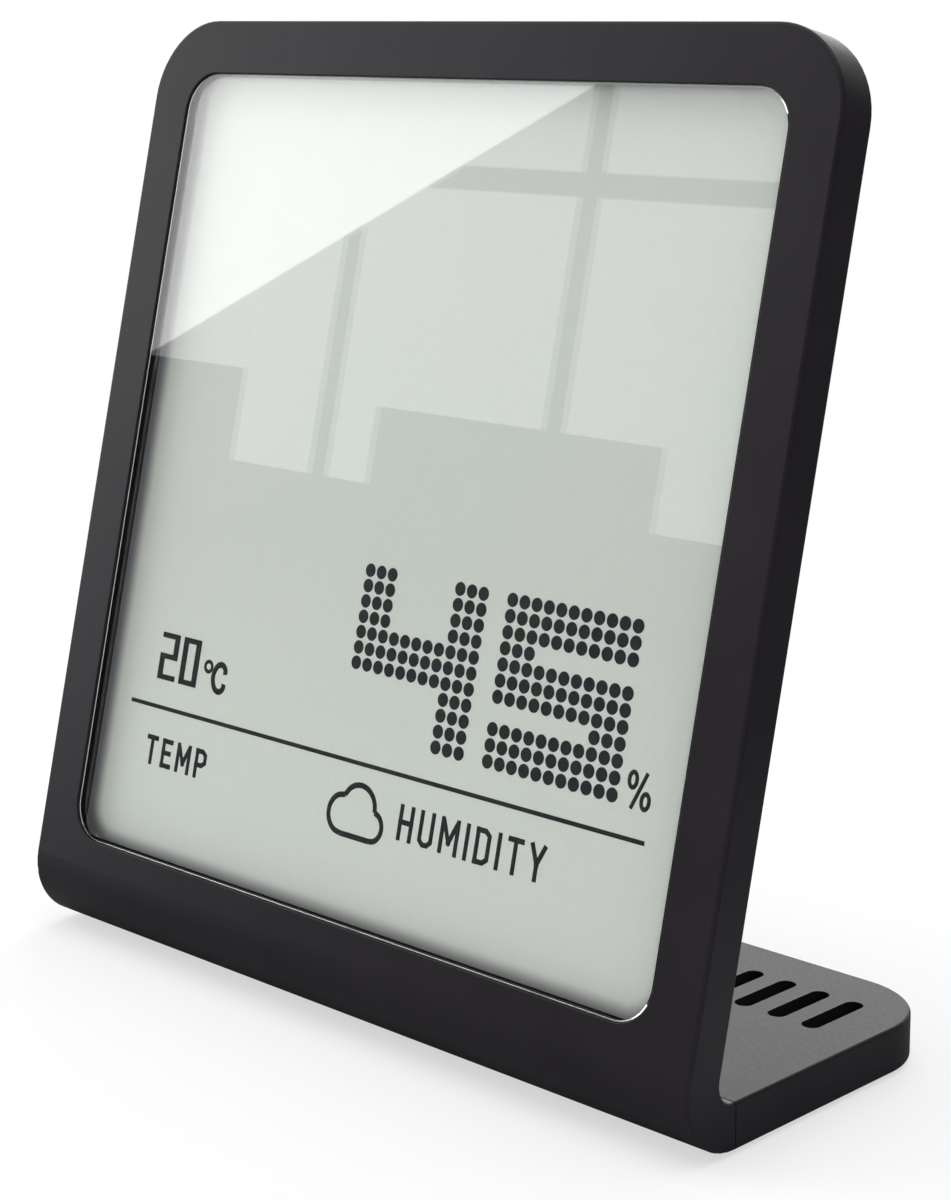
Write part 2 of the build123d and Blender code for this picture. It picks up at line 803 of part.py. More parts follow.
def stand_foot():
    """Flat foot, cored from below, with ribs, screw bosses and pad seats."""
    plan = foot_outline()
    top = foot_bottom + plate_thickness
    body = extrude(Pos(0, 0, foot_bottom) * plan, amount=plate_thickness)
    edges = body.edges().group_by(Axis.Z)[0] + body.edges().group_by(Axis.Z)[-1]
    body = fillet([edge for edge in edges if edge.center().Y > foot_front + near], edge_radius)
    ceiling = top - foot_skin
    core = extrude(Pos(0, 0, foot_bottom) * offset(plan, -foot_wall), amount=ceiling - foot_bottom)
    body -= core - foot_ribs(ceiling)
    tongue_play = tongue_clearance
    body -= Pos(0, seam_y + (tongue_length + tongue_play) / 2, foot_bottom) * Box(
        tongue_width + 2 * tongue_play,
        tongue_length + tongue_play,
        tongue_lift + tongue_thickness + tongue_play,
        align=(Align.CENTER, Align.CENTER, Align.MIN),
    )
    boss_low = foot_bottom + tongue_lift + tongue_thickness
    for x, y in foot_screw_places:
        boss = Pos(x, y, boss_low) * extrude(Circle(foot_boss_radius), amount=ceiling - boss_low)
        pilot_length = foot_screw[3] - tongue_thickness + screw_tip_gap
        pilot = Circle(foot_screw[2] + screw_clearance)
        body += boss
        body -= Pos(x, y, boss_low) * extrude(pilot, amount=pilot_length)
    for x, y in pad_places:
        well = Circle(pad_radius + pad_clearance)
        body -= Pos(x, y, foot_bottom) * extrude(well, amount=pad_thickness - pad_proud)
    for number in range(row_slot_count):
        x = (number - (row_slot_count - 1) / 2) * row_slot_pitch
        slot = SlotOverall(row_slot_length, row_slot_width, rotation=90)
        place = Pos(x, depth / 2 - row_slot_from_back, top)
        body -= place * extrude(slot, amount=-row_slot_depth)
    return body


def foot_ribs(ceiling):
    """Ribs under the foot and the round seats of the pads."""
    row_front = depth / 2 - row_slot_from_back - row_slot_length / 2
    length = row_front - seam_y
    ribs = Part()
    tall = ceiling - foot_bottom
    for number in range(foot_rib_count):
        x = (number - (foot_rib_count - 1) / 2) * width / foot_rib_count
        ribs += Pos(x, seam_y + length / 2, foot_bottom + tall / 2) * Box(
            foot_rib_thickness, length, tall
        )
    ribs += Pos(0, row_front, foot_bottom + tall / 2) * Box(width, foot_rib_thickness, tall)
    for x, y in pad_places:
        seat = Circle(pad_radius + pad_clearance + pad_seat_wall)
        ribs += Pos(x, y, foot_bottom) * extrude(seat, amount=tall)
    return ribs


def foot_screws():
    """Three screws that go up through the tongue into the foot."""
    parts = Part()
    for x, y in foot_screw_places:
        parts += Pos(x, y, foot_bottom + tongue_lift) * screw(foot_screw)
    return parts


def rubber_pads():
    """Four round pads that stand on the table."""
    pad = Pos(0, 0, pad_thickness / 2) * Cylinder(pad_radius, pad_thickness)
    pad = fillet(pad.edges().sort_by(Axis.Z)[0], pad_edge_radius)
    parts = Part()
    for x, y in pad_places:
        parts += Pos(x, y) * pad
    return parts


nodes = {
    "front_frame": front_frame(),
    "display_lens": display_lens(),
    "lens_tape": lens_tape(),
    "display_chassis": display_chassis(),
    "contact_strip": contact_strip(),
    "circuit_board": circuit_board(),
    "controller_chip": controller_chip(),
    "quartz_crystal": quartz_crystal(),
    "humidity_sensor": humidity_sensor(),
    "chip_components": chip_components(),
    "board_screws": screws_at(board_screw_places, board_back, board_screw),
    "tact_switch": tact_switch(),
    "switch_plunger": switch_plunger(),
    "unit_button": unit_button(),
    "coin_cell": coin_cell(),
    "battery_contact_positive": battery_contact_positive(),
    "battery_contact_negative": battery_contact_negative(),
    "battery_door": battery_door(),
    "rear_housing": rear_housing(),
    "housing_screws": screws_at(housing_screw_places, housing_screw_seat(), housing_screw),
    "stand_foot": stand_foot(),
    "foot_screws": foot_screws(),
    "rubber_pads": rubber_pads(),
}
nodes.update({name: panel.location * layer for name, layer in display_layers().items()})

os.makedirs("parts", exist_ok=True)
for name, shape in nodes.items():
    export_step(shape, f"parts/{name}.step")
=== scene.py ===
# %% [markdown]
# # A desk hygrometer, dressed for its portrait
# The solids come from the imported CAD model, at their real size and in their real place. This
# lesson gives each of them its finish, draws what the display shows, and sets up the camera,
# the lights and the floor. Everything is in metres, with +Z up and the display facing -Y.

from math import cos, pi, radians, sin, tan

import bpy
from mathutils import Matrix, Vector


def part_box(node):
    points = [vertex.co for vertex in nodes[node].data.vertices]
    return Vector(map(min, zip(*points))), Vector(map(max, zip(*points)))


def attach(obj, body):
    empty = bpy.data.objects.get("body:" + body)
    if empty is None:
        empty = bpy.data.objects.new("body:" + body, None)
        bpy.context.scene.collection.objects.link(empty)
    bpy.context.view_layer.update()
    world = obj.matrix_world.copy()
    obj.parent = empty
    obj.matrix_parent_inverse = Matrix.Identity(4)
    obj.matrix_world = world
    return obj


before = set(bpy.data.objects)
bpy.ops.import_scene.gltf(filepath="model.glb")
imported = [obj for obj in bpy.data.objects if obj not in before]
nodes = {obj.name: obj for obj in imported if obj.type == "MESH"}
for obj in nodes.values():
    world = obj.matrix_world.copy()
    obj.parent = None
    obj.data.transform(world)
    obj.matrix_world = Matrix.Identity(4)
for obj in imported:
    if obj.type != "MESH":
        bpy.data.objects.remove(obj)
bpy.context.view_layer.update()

# %% [markdown]
# ## Where things are on the leaning panel
# The display leans back, so x and z are awkward for placing anything on it. A matrix solves
# this: pieces are drawn flat, with x across, y up the face and z out of it, and the matrix then
# lays them on the panel. A second matrix does the same for the back, seen from behind.

# %% The panel's own axes
MM = 0.001
lean = radians(13.2)
bend_radius = 6.5 * MM
pad_proud = 0.4 * MM
upward = Vector((0, sin(lean), cos(lean)))
outward = Vector((0, -cos(lean), sin(lean)))
bend_centre = Vector((0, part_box("front_frame")[0].y + bend_radius, pad_proud + bend_radius))
face_start = bend_centre + outward * bend_radius


def axes(across, origin):
    """A matrix whose x runs across, whose y runs up the panel, and whose origin is given."""
    turned = Matrix((across, upward, across.cross(upward))).transposed().to_4x4()
    return Matrix.Translation(origin) @ turned


front_axes = axes(Vector((1, 0, 0)), face_start)
back_axes = axes(Vector((-1, 0, 0)), face_start)


def on_panel(point):
    """How far a point lies across the panel, up the panel and behind its front face."""
    local = front_axes.inverted() @ point
    return local.x, local.y, -local.z


face_length = on_panel(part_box("front_frame")[1])[1]
film_front = min(on_panel(v.co)[2] for v in nodes["front_polariser"].data.vertices)
print("film depth mm:", round(film_front / MM, 3))

# %% [markdown]
# ## Small helpers
# An operator acts on everything that is selected, so each new piece starts with nothing
# selected. When a piece is ready, its place goes into its mesh, it gets a material, and it is
# told which moving body carries it.


# %% Starting and finishing a piece
def select_only(piece):
    """Makes a piece the only one selected, and the active one."""
    bpy.ops.object.select_all(action="DESELECT")
    piece.select_set(True)
    bpy.context.view_layer.objects.active = piece


def settle(piece, name, material, body="case", lay=None):
    """Puts a piece's place into its mesh, and gives it its name, material and body."""
    select_only(piece)
    bpy.ops.object.transform_apply(location=True, rotation=True, scale=True)
    piece.data.transform(lay or front_axes)
    piece.name = name
    piece.data.name = name
    piece.data.materials.clear()
    piece.data.materials.append(material)
    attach(piece, body)
    print(name, len(piece.data.polygons), "faces")


# %% [markdown]
# ## Colour and shader helpers
# Colours are written as they look on a screen, as sRGB hex, and one function turns them into
# the linear values that a shader wants. Another adds a node, with its settings and its links.
# With these two, a material reads as a short list of what it is made of.


# %% Colour and node helpers
def linear(hex_colour):
    """The linear value of an sRGB colour that is written as hex."""
    shares = [int(hex_colour[start : start + 2], 16) / 255 for start in (1, 3, 5)]
    curve = [v / 12.92 if v <= 0.04045 else ((v + 0.055) / 1.055) ** 2.4 for v in shares]
    return (*curve, 1.0)


def add_node(tree, kind, settings=None, links=None):
    """Adds a node, sets its inputs and options by name or number, and links its inputs."""
    node = tree.nodes.new("ShaderNode" + kind)
    for key, value in (settings or {}).items():
        if isinstance(key, int) or key in node.inputs:
            node.inputs[key].default_value = value
        else:
            setattr(node, key, value)
    for key, socket in (links or {}).items():
        tree.links.new(socket, node.inputs[key])
    return node


def new_material(name, **sockets):
    """A material with one Principled shader, and the values that are even all over it."""
    material = bpy.data.materials.new(name)
    material.use_nodes = True
    shader = material.node_tree.nodes["Principled BSDF"]
    for key, value in sockets.items():
        shader.inputs[key.replace("_", " ")].default_value = value
    return material, material.node_tree, shader


# %% [markdown]
# ## A surface with a grain
# Most pieces share one recipe. A fine noise gives the height and the roughness of the grain,
# and a slow one lets the tone drift a little, as it does in any moulded or rolled piece. Only
# the colours, the sizes and a few values of the shader differ. The last function here gives a
# finished material to CAD nodes.


# %% Grained surfaces
def tones(tree, factor, first, second, low=0.35, high=0.65):
    """A colour that goes from one tone to another as a factor rises."""
    ramp = add_node(tree, "ValToRGB", links={"Fac": factor})
    for element, position, colour in zip(ramp.color_ramp.elements, (low, high), (first, second)):
        element.position = position
        element.color = linear(colour)
    return ramp.outputs["Color"]


def grained(name, dark, light, grain, height, roughness, drift=9.0, **sockets):
    """A surface with a fine grain in its height and roughness, and a slow drift in its tone.
    The grain, its height and the drift are in millimetres."""
    material, tree, shader = new_material(name, **sockets)
    place = add_node(tree, "TexCoord").outputs["Object"]
    fine = add_node(
        tree, "TexNoise", {"Scale": 1 / (grain * MM), "Detail": 2.0}, {"Vector": place}
    ).outputs["Fac"]
    slow = add_node(
        tree, "TexNoise", {"Scale": 1 / (drift * MM), "Detail": 3.0}, {"Vector": place}
    ).outputs["Fac"]
    rough = add_node(
        tree,
        "MapRange",
        {"From Min": 0.3, "From Max": 0.7, "To Min": roughness[0], "To Max": roughness[1]},
        {"Value": fine},
    )
    bump = add_node(tree, "Bump", {"Strength": 0.5, "Distance": height * MM}, {"Height": fine})
    tree.links.new(tones(tree, slow, dark, light), shader.inputs["Base Color"])
    tree.links.new(rough.outputs["Result"], shader.inputs["Roughness"])
    tree.links.new(bump.outputs["Normal"], shader.inputs["Normal"])
    return material


def dress(material, *names):
    """Gives CAD nodes their material."""
    for name in names:
        for place in nodes[name].material_slots:
            place.link = "DATA"
        nodes[name].data.materials.clear()
        nodes[name].data.materials.append(material)
    print(material.name, "on", ", ".join(names))


# %% [markdown]
# ## The casing
# The front frame and the foot are ABS, moulded in a tool with a fine satin finish. It takes the
# hard edge off every reflection and leaves a deep, even black. The housing behind came from a
# spark-eroded tool, which leaves a coarser grain that hides finger marks.

# %% Casing plastics
satin_abs = grained(
    "satin moulded ABS",
    dark="#211e22",
    light="#242125",
    grain=0.35,
    height=0.002,
    roughness=(0.40, 0.46),
    Specular_IOR_Level=0.12,
    IOR=1.53,
)
dress(satin_abs, "front_frame", "stand_foot")

eroded_abs = grained(
    "spark eroded ABS",
    dark="#222123",
    light="#272628",
    grain=0.28,
    height=0.03,
    roughness=(0.52, 0.66),
    Specular_IOR_Level=0.35,
    IOR=1.53,
)
dress(eroded_abs, "rear_housing", "battery_door")

button_plastic = grained(
    "polished acetal",
    dark="#29282b",
    light="#2e2d30",
    grain=0.5,
    height=0.003,
    roughness=(0.26, 0.34),
    Specular_IOR_Level=0.45,
    IOR=1.48,
)
dress(button_plastic, "unit_button")

# %% [markdown]
# ## The lens
# The window is clear polycarbonate, polished on both faces. A path tracer can't aim a lamp
# through glass that bends light, so what lies behind would be dark. The usual answer is to let
# the rays from lamps and the light that bounces from below pass straight through. What the
# camera sees is still bent and mirrored by the real thickness of the pane.

# %% Clear polycarbonate
flow_size = 40 * MM
flow_height = 0.002 * MM
clear_lens, tree, lens_shader = new_material(
    "polished polycarbonate", Roughness=0.0, IOR=1.58, Transmission_Weight=1.0
)
place = add_node(tree, "TexCoord").outputs["Object"]
flow = add_node(tree, "TexNoise", {"Scale": 1 / flow_size, "Detail": 1.0}, {"Vector": place})
tint = tones(tree, flow.outputs["Fac"], "#fcfdfd", "#fefefe")
tree.links.new(tint, lens_shader.inputs["Base Color"])
waves = add_node(
    tree, "Bump", {"Strength": 0.1, "Distance": flow_height}, {"Height": flow.outputs["Fac"]}
)
tree.links.new(waves.outputs["Normal"], lens_shader.inputs["Normal"])
path = add_node(tree, "LightPath")
passes = add_node(
    tree,
    "Math",
    {"operation": "MAXIMUM"},
    {0: path.outputs["Is Shadow Ray"], 1: path.outputs["Is Diffuse Ray"]},
)
through = add_node(tree, "BsdfTransparent", {"Color": linear("#fcfdfd")})
lens_mix = add_node(
    tree,
    "MixShader",
    links={0: passes.outputs[0], 1: lens_shader.outputs[0], 2: through.outputs[0]},
)
tree.links.new(lens_mix.outputs[0], tree.nodes["Material Output"].inputs["Surface"])
dress(clear_lens, "display_lens")

# %% [markdown]
# ## The display
# A reflective liquid crystal display is a stack of films and glasses. What the eye meets is the
# front polariser, a matt grey-green film. The shade that the frame casts on it all round is
# painted into its colour: its tone falls off softly to a darker grey towards the edge of the
# window, as painted shade. The shader measures how far a point lies past the straight part of
# each edge, which gives its distance to the window's rounded outline.

# %% Painted shade at the window's edge
shade_half = 39.35 * MM
shade_low = 2.8 * MM
shade_high = face_length - 5.5 * MM
shade_radius = 4.0 * MM
shade_width = 1.9 * MM

display_film, tree, film_shader = new_material(
    "grey-green polariser film", Specular_IOR_Level=0.3, IOR=1.5
)
place = add_node(tree, "TexCoord").outputs["Object"]
from_start = add_node(
    tree, "VectorMath", {"operation": "SUBTRACT", 1: tuple(face_start)}, {0: place}
)
up_face = add_node(
    tree,
    "VectorMath",
    {"operation": "DOT_PRODUCT", 1: tuple(upward)},
    {0: from_start.outputs["Vector"]},
)
parts = add_node(tree, "SeparateXYZ", links={0: place})


def past_corner(value, centre, half):
    """How far a coordinate lies past the straight part of an edge, and never under zero."""
    away = add_node(tree, "Math", {"operation": "SUBTRACT", 1: centre}, {0: value})
    size = add_node(tree, "Math", {"operation": "ABSOLUTE"}, {0: away.outputs[0]})
    past = add_node(
        tree, "Math", {"operation": "SUBTRACT", 1: half - shade_radius}, {0: size.outputs[0]}
    )
    return add_node(tree, "Math", {"operation": "MAXIMUM", 1: 0.0}, {0: past.outputs[0]}).outputs[0]


past_side = past_corner(parts.outputs["X"], 0.0, shade_half)
past_end = past_corner(
    up_face.outputs["Value"], (shade_low + shade_high) / 2, (shade_high - shade_low) / 2
)
past_both = add_node(tree, "CombineXYZ", links={0: past_side, 1: past_end})
past_length = add_node(
    tree, "VectorMath", {"operation": "LENGTH"}, {0: past_both.outputs["Vector"]}
)
# How far a point is clear of the painted shade: nought at the window's edge, one inside.
clear_of_painted_shade = add_node(
    tree,
    "MapRange",
    {
        "interpolation_type": "SMOOTHSTEP",
        "From Min": shade_radius,
        "From Max": shade_radius - shade_width,
        "To Min": 0.0,
        "To Max": 1.0,
    },
    {"Value": past_length.outputs["Value"]},
)

# %% [markdown]
# ## The display's ground
# The ground gets a little paler towards the lower edge, as painted light where the lamps light
# the film less. The painted shade then goes over it: the ground shows where the film is clear
# of it, and a darker grey at the edge.

# %% Ground of the display
painted_light_height = 38 * MM
speckle_grain = 0.4 * MM
speckle = add_node(
    tree, "TexNoise", {"Scale": 1 / speckle_grain, "Detail": 2.0}, {"Vector": place}
).outputs["Fac"]
painted_light_ramp = add_node(
    tree,
    "MapRange",
    {"From Min": painted_light_height, "From Max": 0.0},
    {"Value": up_face.outputs["Value"]},
)
# The second pair of tones, for the lower edge, is paler as painted light.
ground = add_node(
    tree,
    "Mix",
    {"data_type": "RGBA"},
    {
        0: painted_light_ramp.outputs["Result"],
        6: tones(tree, speckle, "#cdd2ca", "#d0d5cd"),
        7: tones(tree, speckle, "#d9ded6", "#dce1d9"),
    },
).outputs[2]
# The darker grey at the window's edge is painted shade, laid over the ground.
painted_shade_mix = add_node(
    tree,
    "Mix",
    {"data_type": "RGBA", 6: linear("#858285")},
    {0: clear_of_painted_shade.outputs["Result"], 7: ground},
)
tree.links.new(painted_shade_mix.outputs[2], film_shader.inputs["Base Color"])
matt = add_node(tree, "MapRange", {"To Min": 0.5, "To Max": 0.6}, {"Value": speckle})
tree.links.new(matt.outputs["Result"], film_shader.inputs["Roughness"])
dress(display_film, "front_polariser")

# %% [markdown]
# ## Behind the film
# Most of what follows is closed in by the casing. It shows when the part is taken apart, so it
# gets real finishes all the same: greenish soda glass, a silver reflector, a moulded grey
# chassis and dark foam tape.

# %% Display stack and chassis
display_glass = grained(
    "soda lime glass",
    dark="#93a39a",
    light="#9aaaa1",
    grain=3.0,
    height=0.001,
    roughness=(0.05, 0.09),
    Specular_IOR_Level=0.5,
    IOR=1.52,
)
dress(display_glass, "lcd_front_glass", "lcd_rear_glass")

reflector_film = grained(
    "brushed reflector film",
    dark="#b9bcb8",
    light="#c8cbc6",
    grain=0.3,
    height=0.004,
    roughness=(0.28, 0.36),
    Metallic=0.85,
)
dress(reflector_film, "rear_reflector")

chassis_plastic = grained(
    "grey chassis ABS",
    dark="#464447",
    light="#4c4a4d",
    grain=0.4,
    height=0.01,
    roughness=(0.5, 0.62),
    Specular_IOR_Level=0.3,
)
dress(chassis_plastic, "display_chassis")

# The tape's grey is lighter than bare black foam, as painted reflection of the lens over the
# window's edge.
foam_tape = grained(
    "grey foam tape with painted reflection",
    dark="#5c5a5c",
    light="#636163",
    grain=0.25,
    height=0.02,
    roughness=(0.8, 0.92),
    Specular_IOR_Level=0.2,
)
dress(foam_tape, "lens_tape")

# %% [markdown]
# ## The contact strip
# A strip of rubber joins the display and the board. It is made of thin layers, by turns
# insulating and filled with carbon, so it shows fine stripes. A wave texture makes them: its
# scale follows from the pitch of the layers, and a steep ramp keeps their edges sharp.

# %% Striped contact rubber
stripe_pitch = 0.5 * MM
contact_rubber, tree, rubber_shader = new_material("striped contact rubber", Specular_IOR_Level=0.3)
place = add_node(tree, "TexCoord").outputs["Object"]
stripes = add_node(
    tree,
    "TexWave",
    {"bands_direction": "X", "Scale": pi / (10 * stripe_pitch), "Distortion": 0.2},
    {"Vector": place},
)
carbon = tones(tree, stripes.outputs["Fac"], "#1b1a1b", "#b98f86", 0.45, 0.55)
tree.links.new(carbon, rubber_shader.inputs["Base Color"])
soft = add_node(
    tree, "MapRange", {"To Min": 0.6, "To Max": 0.75}, {"Value": stripes.outputs["Fac"]}
)
tree.links.new(soft.outputs["Result"], rubber_shader.inputs["Roughness"])
dress(contact_rubber, "contact_strip")

# %% [markdown]
# ## The circuit board
# Green solder mask lies over copper, so tracks show as slightly lighter, slightly raised lines.
# A brick pattern with long thin rows gives straight tracks with breaks in them, and its mortar
# is the bare board between them.

# %% Circuit board
track_pitch = 1.0 * MM
track_length = 14 * track_pitch
track_gap = 0.2 * MM
copper_height = 0.03 * MM
solder_mask, tree, mask_shader = new_material("green solder mask", Specular_IOR_Level=0.5)
place = add_node(tree, "TexCoord").outputs["Object"]
upright = add_node(
    tree, "Mapping", {"Rotation": (pi / 2 - lean, 0, 0)}, {"Vector": place}
).outputs["Vector"]
tracks = add_node(
    tree,
    "TexBrick",
    {
        "Color1": linear("#1d5b34"),
        "Color2": linear("#226339"),
        "Mortar": linear("#123f24"),
        "Scale": 1.0,
        "Mortar Size": track_gap,
        "Brick Width": track_length,
        "Row Height": track_pitch,
    },
    {"Vector": upright},
)
tree.links.new(tracks.outputs["Color"], mask_shader.inputs["Base Color"])
gloss = add_node(
    tree, "MapRange", {"To Min": 0.28, "To Max": 0.42}, {"Value": tracks.outputs["Fac"]}
)
tree.links.new(gloss.outputs["Result"], mask_shader.inputs["Roughness"])
copper = add_node(
    tree,
    "Bump",
    {"Strength": 0.6, "Distance": copper_height, "invert": True},
    {"Height": tracks.outputs["Fac"]},
)
tree.links.new(copper.outputs["Normal"], mask_shader.inputs["Normal"])
dress(solder_mask, "circuit_board")

# %% [markdown]
# ## Parts on the board
# The chip and the switch are dull black epoxy, and the small parts are tinned ceramic. The
# sensor has a white lid, and the plunger of the switch is natural nylon.

# %% Parts on the board
chip_epoxy = grained(
    "moulded chip epoxy",
    dark="#1c1c1e",
    light="#242426",
    grain=0.2,
    height=0.01,
    roughness=(0.55, 0.7),
    Specular_IOR_Level=0.3,
)
dress(chip_epoxy, "controller_chip", "tact_switch")

tinned_ceramic = grained(
    "tinned ceramic",
    dark="#a58a6a",
    light="#b89d7c",
    grain=0.15,
    height=0.008,
    roughness=(0.4, 0.55),
)
dress(tinned_ceramic, "chip_components")

sensor_lid = grained(
    "white sensor lid",
    dark="#dcdcd6",
    light="#e6e6e0",
    grain=0.15,
    height=0.004,
    roughness=(0.35, 0.45),
)
dress(sensor_lid, "humidity_sensor")

plunger_plastic = grained(
    "natural nylon",
    dark="#d3cdbd",
    light="#ddd8c9",
    grain=0.3,
    height=0.004,
    roughness=(0.4, 0.5),
    Specular_IOR_Level=0.4,
)
dress(plunger_plastic, "switch_plunger")

# %% [markdown]
# ## Metals and rubber
# Metal is told by its reflections: the base colour is the colour of the mirror image, and the
# finish is all in the roughness. The coin cell is bright stamped steel, its contacts are
# nickelled spring steel, and the screws are blackened so that they vanish in the casing.

# %% Metals and rubber
cell_steel = grained(
    "stamped stainless steel",
    dark="#b4b5b6",
    light="#c3c4c5",
    grain=0.6,
    height=0.003,
    roughness=(0.22, 0.32),
    Metallic=1.0,
)
dress(cell_steel, "coin_cell", "quartz_crystal")

contact_nickel = grained(
    "nickelled spring steel",
    dark="#b3aea4",
    light="#c2bdb3",
    grain=0.4,
    height=0.003,
    roughness=(0.25, 0.35),
    Metallic=1.0,
)
dress(contact_nickel, "battery_contact_positive", "battery_contact_negative")

screw_steel = grained(
    "blackened screw steel",
    dark="#3b3a3c",
    light="#474648",
    grain=0.2,
    height=0.006,
    roughness=(0.35, 0.48),
    Metallic=1.0,
)
dress(screw_steel, "board_screws", "housing_screws", "foot_screws")

pad_rubber = grained(
    "black silicone rubber",
    dark="#1d1d1e",
    light="#232324",
    grain=0.3,
    height=0.01,
    roughness=(0.7, 0.82),
    Specular_IOR_Level=0.2,
)
dress(pad_rubber, "rubber_pads")

# %% [markdown]
# ## What the display shows
# Switched-on liquid crystal is dark and slightly blue, and looks like flat ink on the film. Each
# figure is a very thin solid whose underside is sunk in the film, so no gap shows under it. The
# large figures are made of round dots, the small ones of straight bars.

# %% Display ink
ink_height = 0.03 * MM
ink_sunk = 0.01 * MM
display_ink = grained(
    "switched liquid crystal",
    dark="#1d1e21",
    light="#232427",
    grain=0.3,
    height=0.001,
    roughness=(0.5, 0.6),
    Specular_IOR_Level=0.2,
)


def lay_on_film(piece, name):
    """Lays a finished flat figure on the display film."""
    piece.location.z = -film_front - ink_sunk
    settle(piece, name, display_ink)


# %% [markdown]
# ## The dotted figures
# One dot is modelled: a disc, raised by an extrusion, with its top inset and lifted for a soft
# edge. Two Array modifiers repeat it into a full matrix of dots, and the dots that are off are
# then taken out by their row and column. It is far quicker than placing each dot.

# %% Dotted figures
dot_pitch = 1.51 * MM
dot_diameter = 1.34 * MM
dot_edge = 0.04 * MM
dot_wall = 0.8 * ink_height
dot_top = 36.73 * MM
four_left = -3.5 * MM
five_left = 15.28 * MM
four = ["XXX.....XXX"] * 4 + ["XXXXXXXXXXX"] * 3 + ["........XXX"] * 4
five = ["XXXXXXXXXXX"] * 3 + ["XXX........"] + ["XXXXXXXXXXX"] * 3 + ["........XXX"]
five += ["XXXXXXXXXXX"] * 3


def dotted_figure(name, rows, left):
    """A figure of round dots, from a picture of its rows with an X for each dot that is on."""
    bpy.ops.object.select_all(action="DESELECT")
    bpy.ops.mesh.primitive_circle_add(vertices=20, radius=dot_diameter / 2, fill_type="NGON")
    piece = bpy.context.object
    bpy.ops.object.mode_set(mode="EDIT")
    bpy.ops.mesh.select_all(action="SELECT")
    bpy.ops.mesh.extrude_region_move(TRANSFORM_OT_translate={"value": (0, 0, dot_wall)})
    bpy.ops.mesh.inset(thickness=dot_edge)
    bpy.ops.transform.translate(value=(0, 0, ink_height - dot_wall))
    bpy.ops.mesh.select_all(action="DESELECT")
    bpy.ops.object.mode_set(mode="OBJECT")
    for axis, count, sign in ((0, len(rows[0]), 1), (1, len(rows), -1)):
        array = piece.modifiers.new("Repeat", "ARRAY")
        array.count = count
        array.use_relative_offset = False
        array.use_constant_offset = True
        offset = [0.0, 0.0, 0.0]
        offset[axis] = sign * dot_pitch
        array.constant_offset_displace = offset
        bpy.ops.object.modifier_apply(modifier=array.name)
    for vertex in piece.data.vertices:
        column = round(vertex.co.x / dot_pitch)
        row = round(-vertex.co.y / dot_pitch)
        vertex.select = rows[row][column] != "X"
    bpy.ops.object.mode_set(mode="EDIT")
    bpy.ops.mesh.select_mode(type="VERT")
    bpy.ops.mesh.delete(type="VERT")
    bpy.ops.mesh.select_all(action="SELECT")
    bpy.ops.mesh.normals_make_consistent(inside=False)
    bpy.ops.object.mode_set(mode="OBJECT")
    piece.location = (left, dot_top, 0)
    lay_on_film(piece, name)


dotted_figure("dotted_four", four, four_left)
dotted_figure("dotted_five", five, five_left)

# %% [markdown]
# ## The barred figures
# The small figures are built from straight bars, as on a pocket calculator. Each starts as a
# plane, which is cut by bisecting it along the edges of the bars, into three by five cells. The
# cells that are off are deleted, and what is left is extruded to the thickness of the ink.

# %% Barred figures
bar_wide = 0.8 * MM
bar_high = 0.57 * MM
figure_width = 2.78 * MM
figure_height = 4.92 * MM
figure_low = 21.1 * MM
two_left = -32.15 * MM
nought_left = -28.75 * MM
two = ["XXX", "X..", "XXX", "..X", "XXX"]
nought = ["XXX", "X.X", "X.X", "X.X", "XXX"]


def barred_figure(name, rows, left):
    """A figure of straight bars, from a picture of its cells, with the lowest row first."""
    middle = (figure_height - bar_high) / 2
    columns = [bar_wide, figure_width - bar_wide]
    levels = [bar_high, middle, middle + bar_high, figure_height - bar_high]
    bpy.ops.object.select_all(action="DESELECT")
    bpy.ops.mesh.primitive_plane_add(size=1, location=(0.5, 0.5, 0))
    piece = bpy.context.object
    piece.scale = (figure_width, figure_height, 1)
    piece.location = (figure_width / 2, figure_height / 2, 0)
    bpy.ops.object.transform_apply(location=True, rotation=False, scale=True)
    bpy.ops.object.mode_set(mode="EDIT")
    bpy.ops.mesh.select_mode(type="FACE")
    for normal, places in (((1, 0, 0), columns), ((0, 1, 0), levels)):
        for place in places:
            bpy.ops.mesh.select_all(action="SELECT")
            bpy.ops.mesh.bisect(plane_co=[place * share for share in normal], plane_no=normal)
    bpy.ops.mesh.select_all(action="DESELECT")
    bpy.ops.object.mode_set(mode="OBJECT")
    for face in piece.data.polygons:
        column = sum(face.center.x > place for place in columns)
        row = sum(face.center.y > place for place in levels)
        face.select = rows[row][column] != "X"
    bpy.ops.object.mode_set(mode="EDIT")
    bpy.ops.mesh.delete(type="FACE")
    bpy.ops.mesh.select_all(action="SELECT")
    bpy.ops.mesh.extrude_region_move(TRANSFORM_OT_translate={"value": (0, 0, ink_height)})
    bpy.ops.mesh.select_all(action="SELECT")
    bpy.ops.mesh.normals_make_consistent(inside=False)
    bpy.ops.object.mode_set(mode="OBJECT")
    piece.location = (left, figure_low, 0)
    lay_on_film(piece, name)


barred_figure("barred_two", two, two_left)
barred_figure("barred_nought", nought, nought_left)

# %% [markdown]
# ## Signs drawn with a line
# The signs for degrees, per cent and weather are lines of even width. A Bezier curve with a
# round bevel gives such a line from a few points. It is made a mesh and then pressed flat, so
# that it lies on the film like the rest.


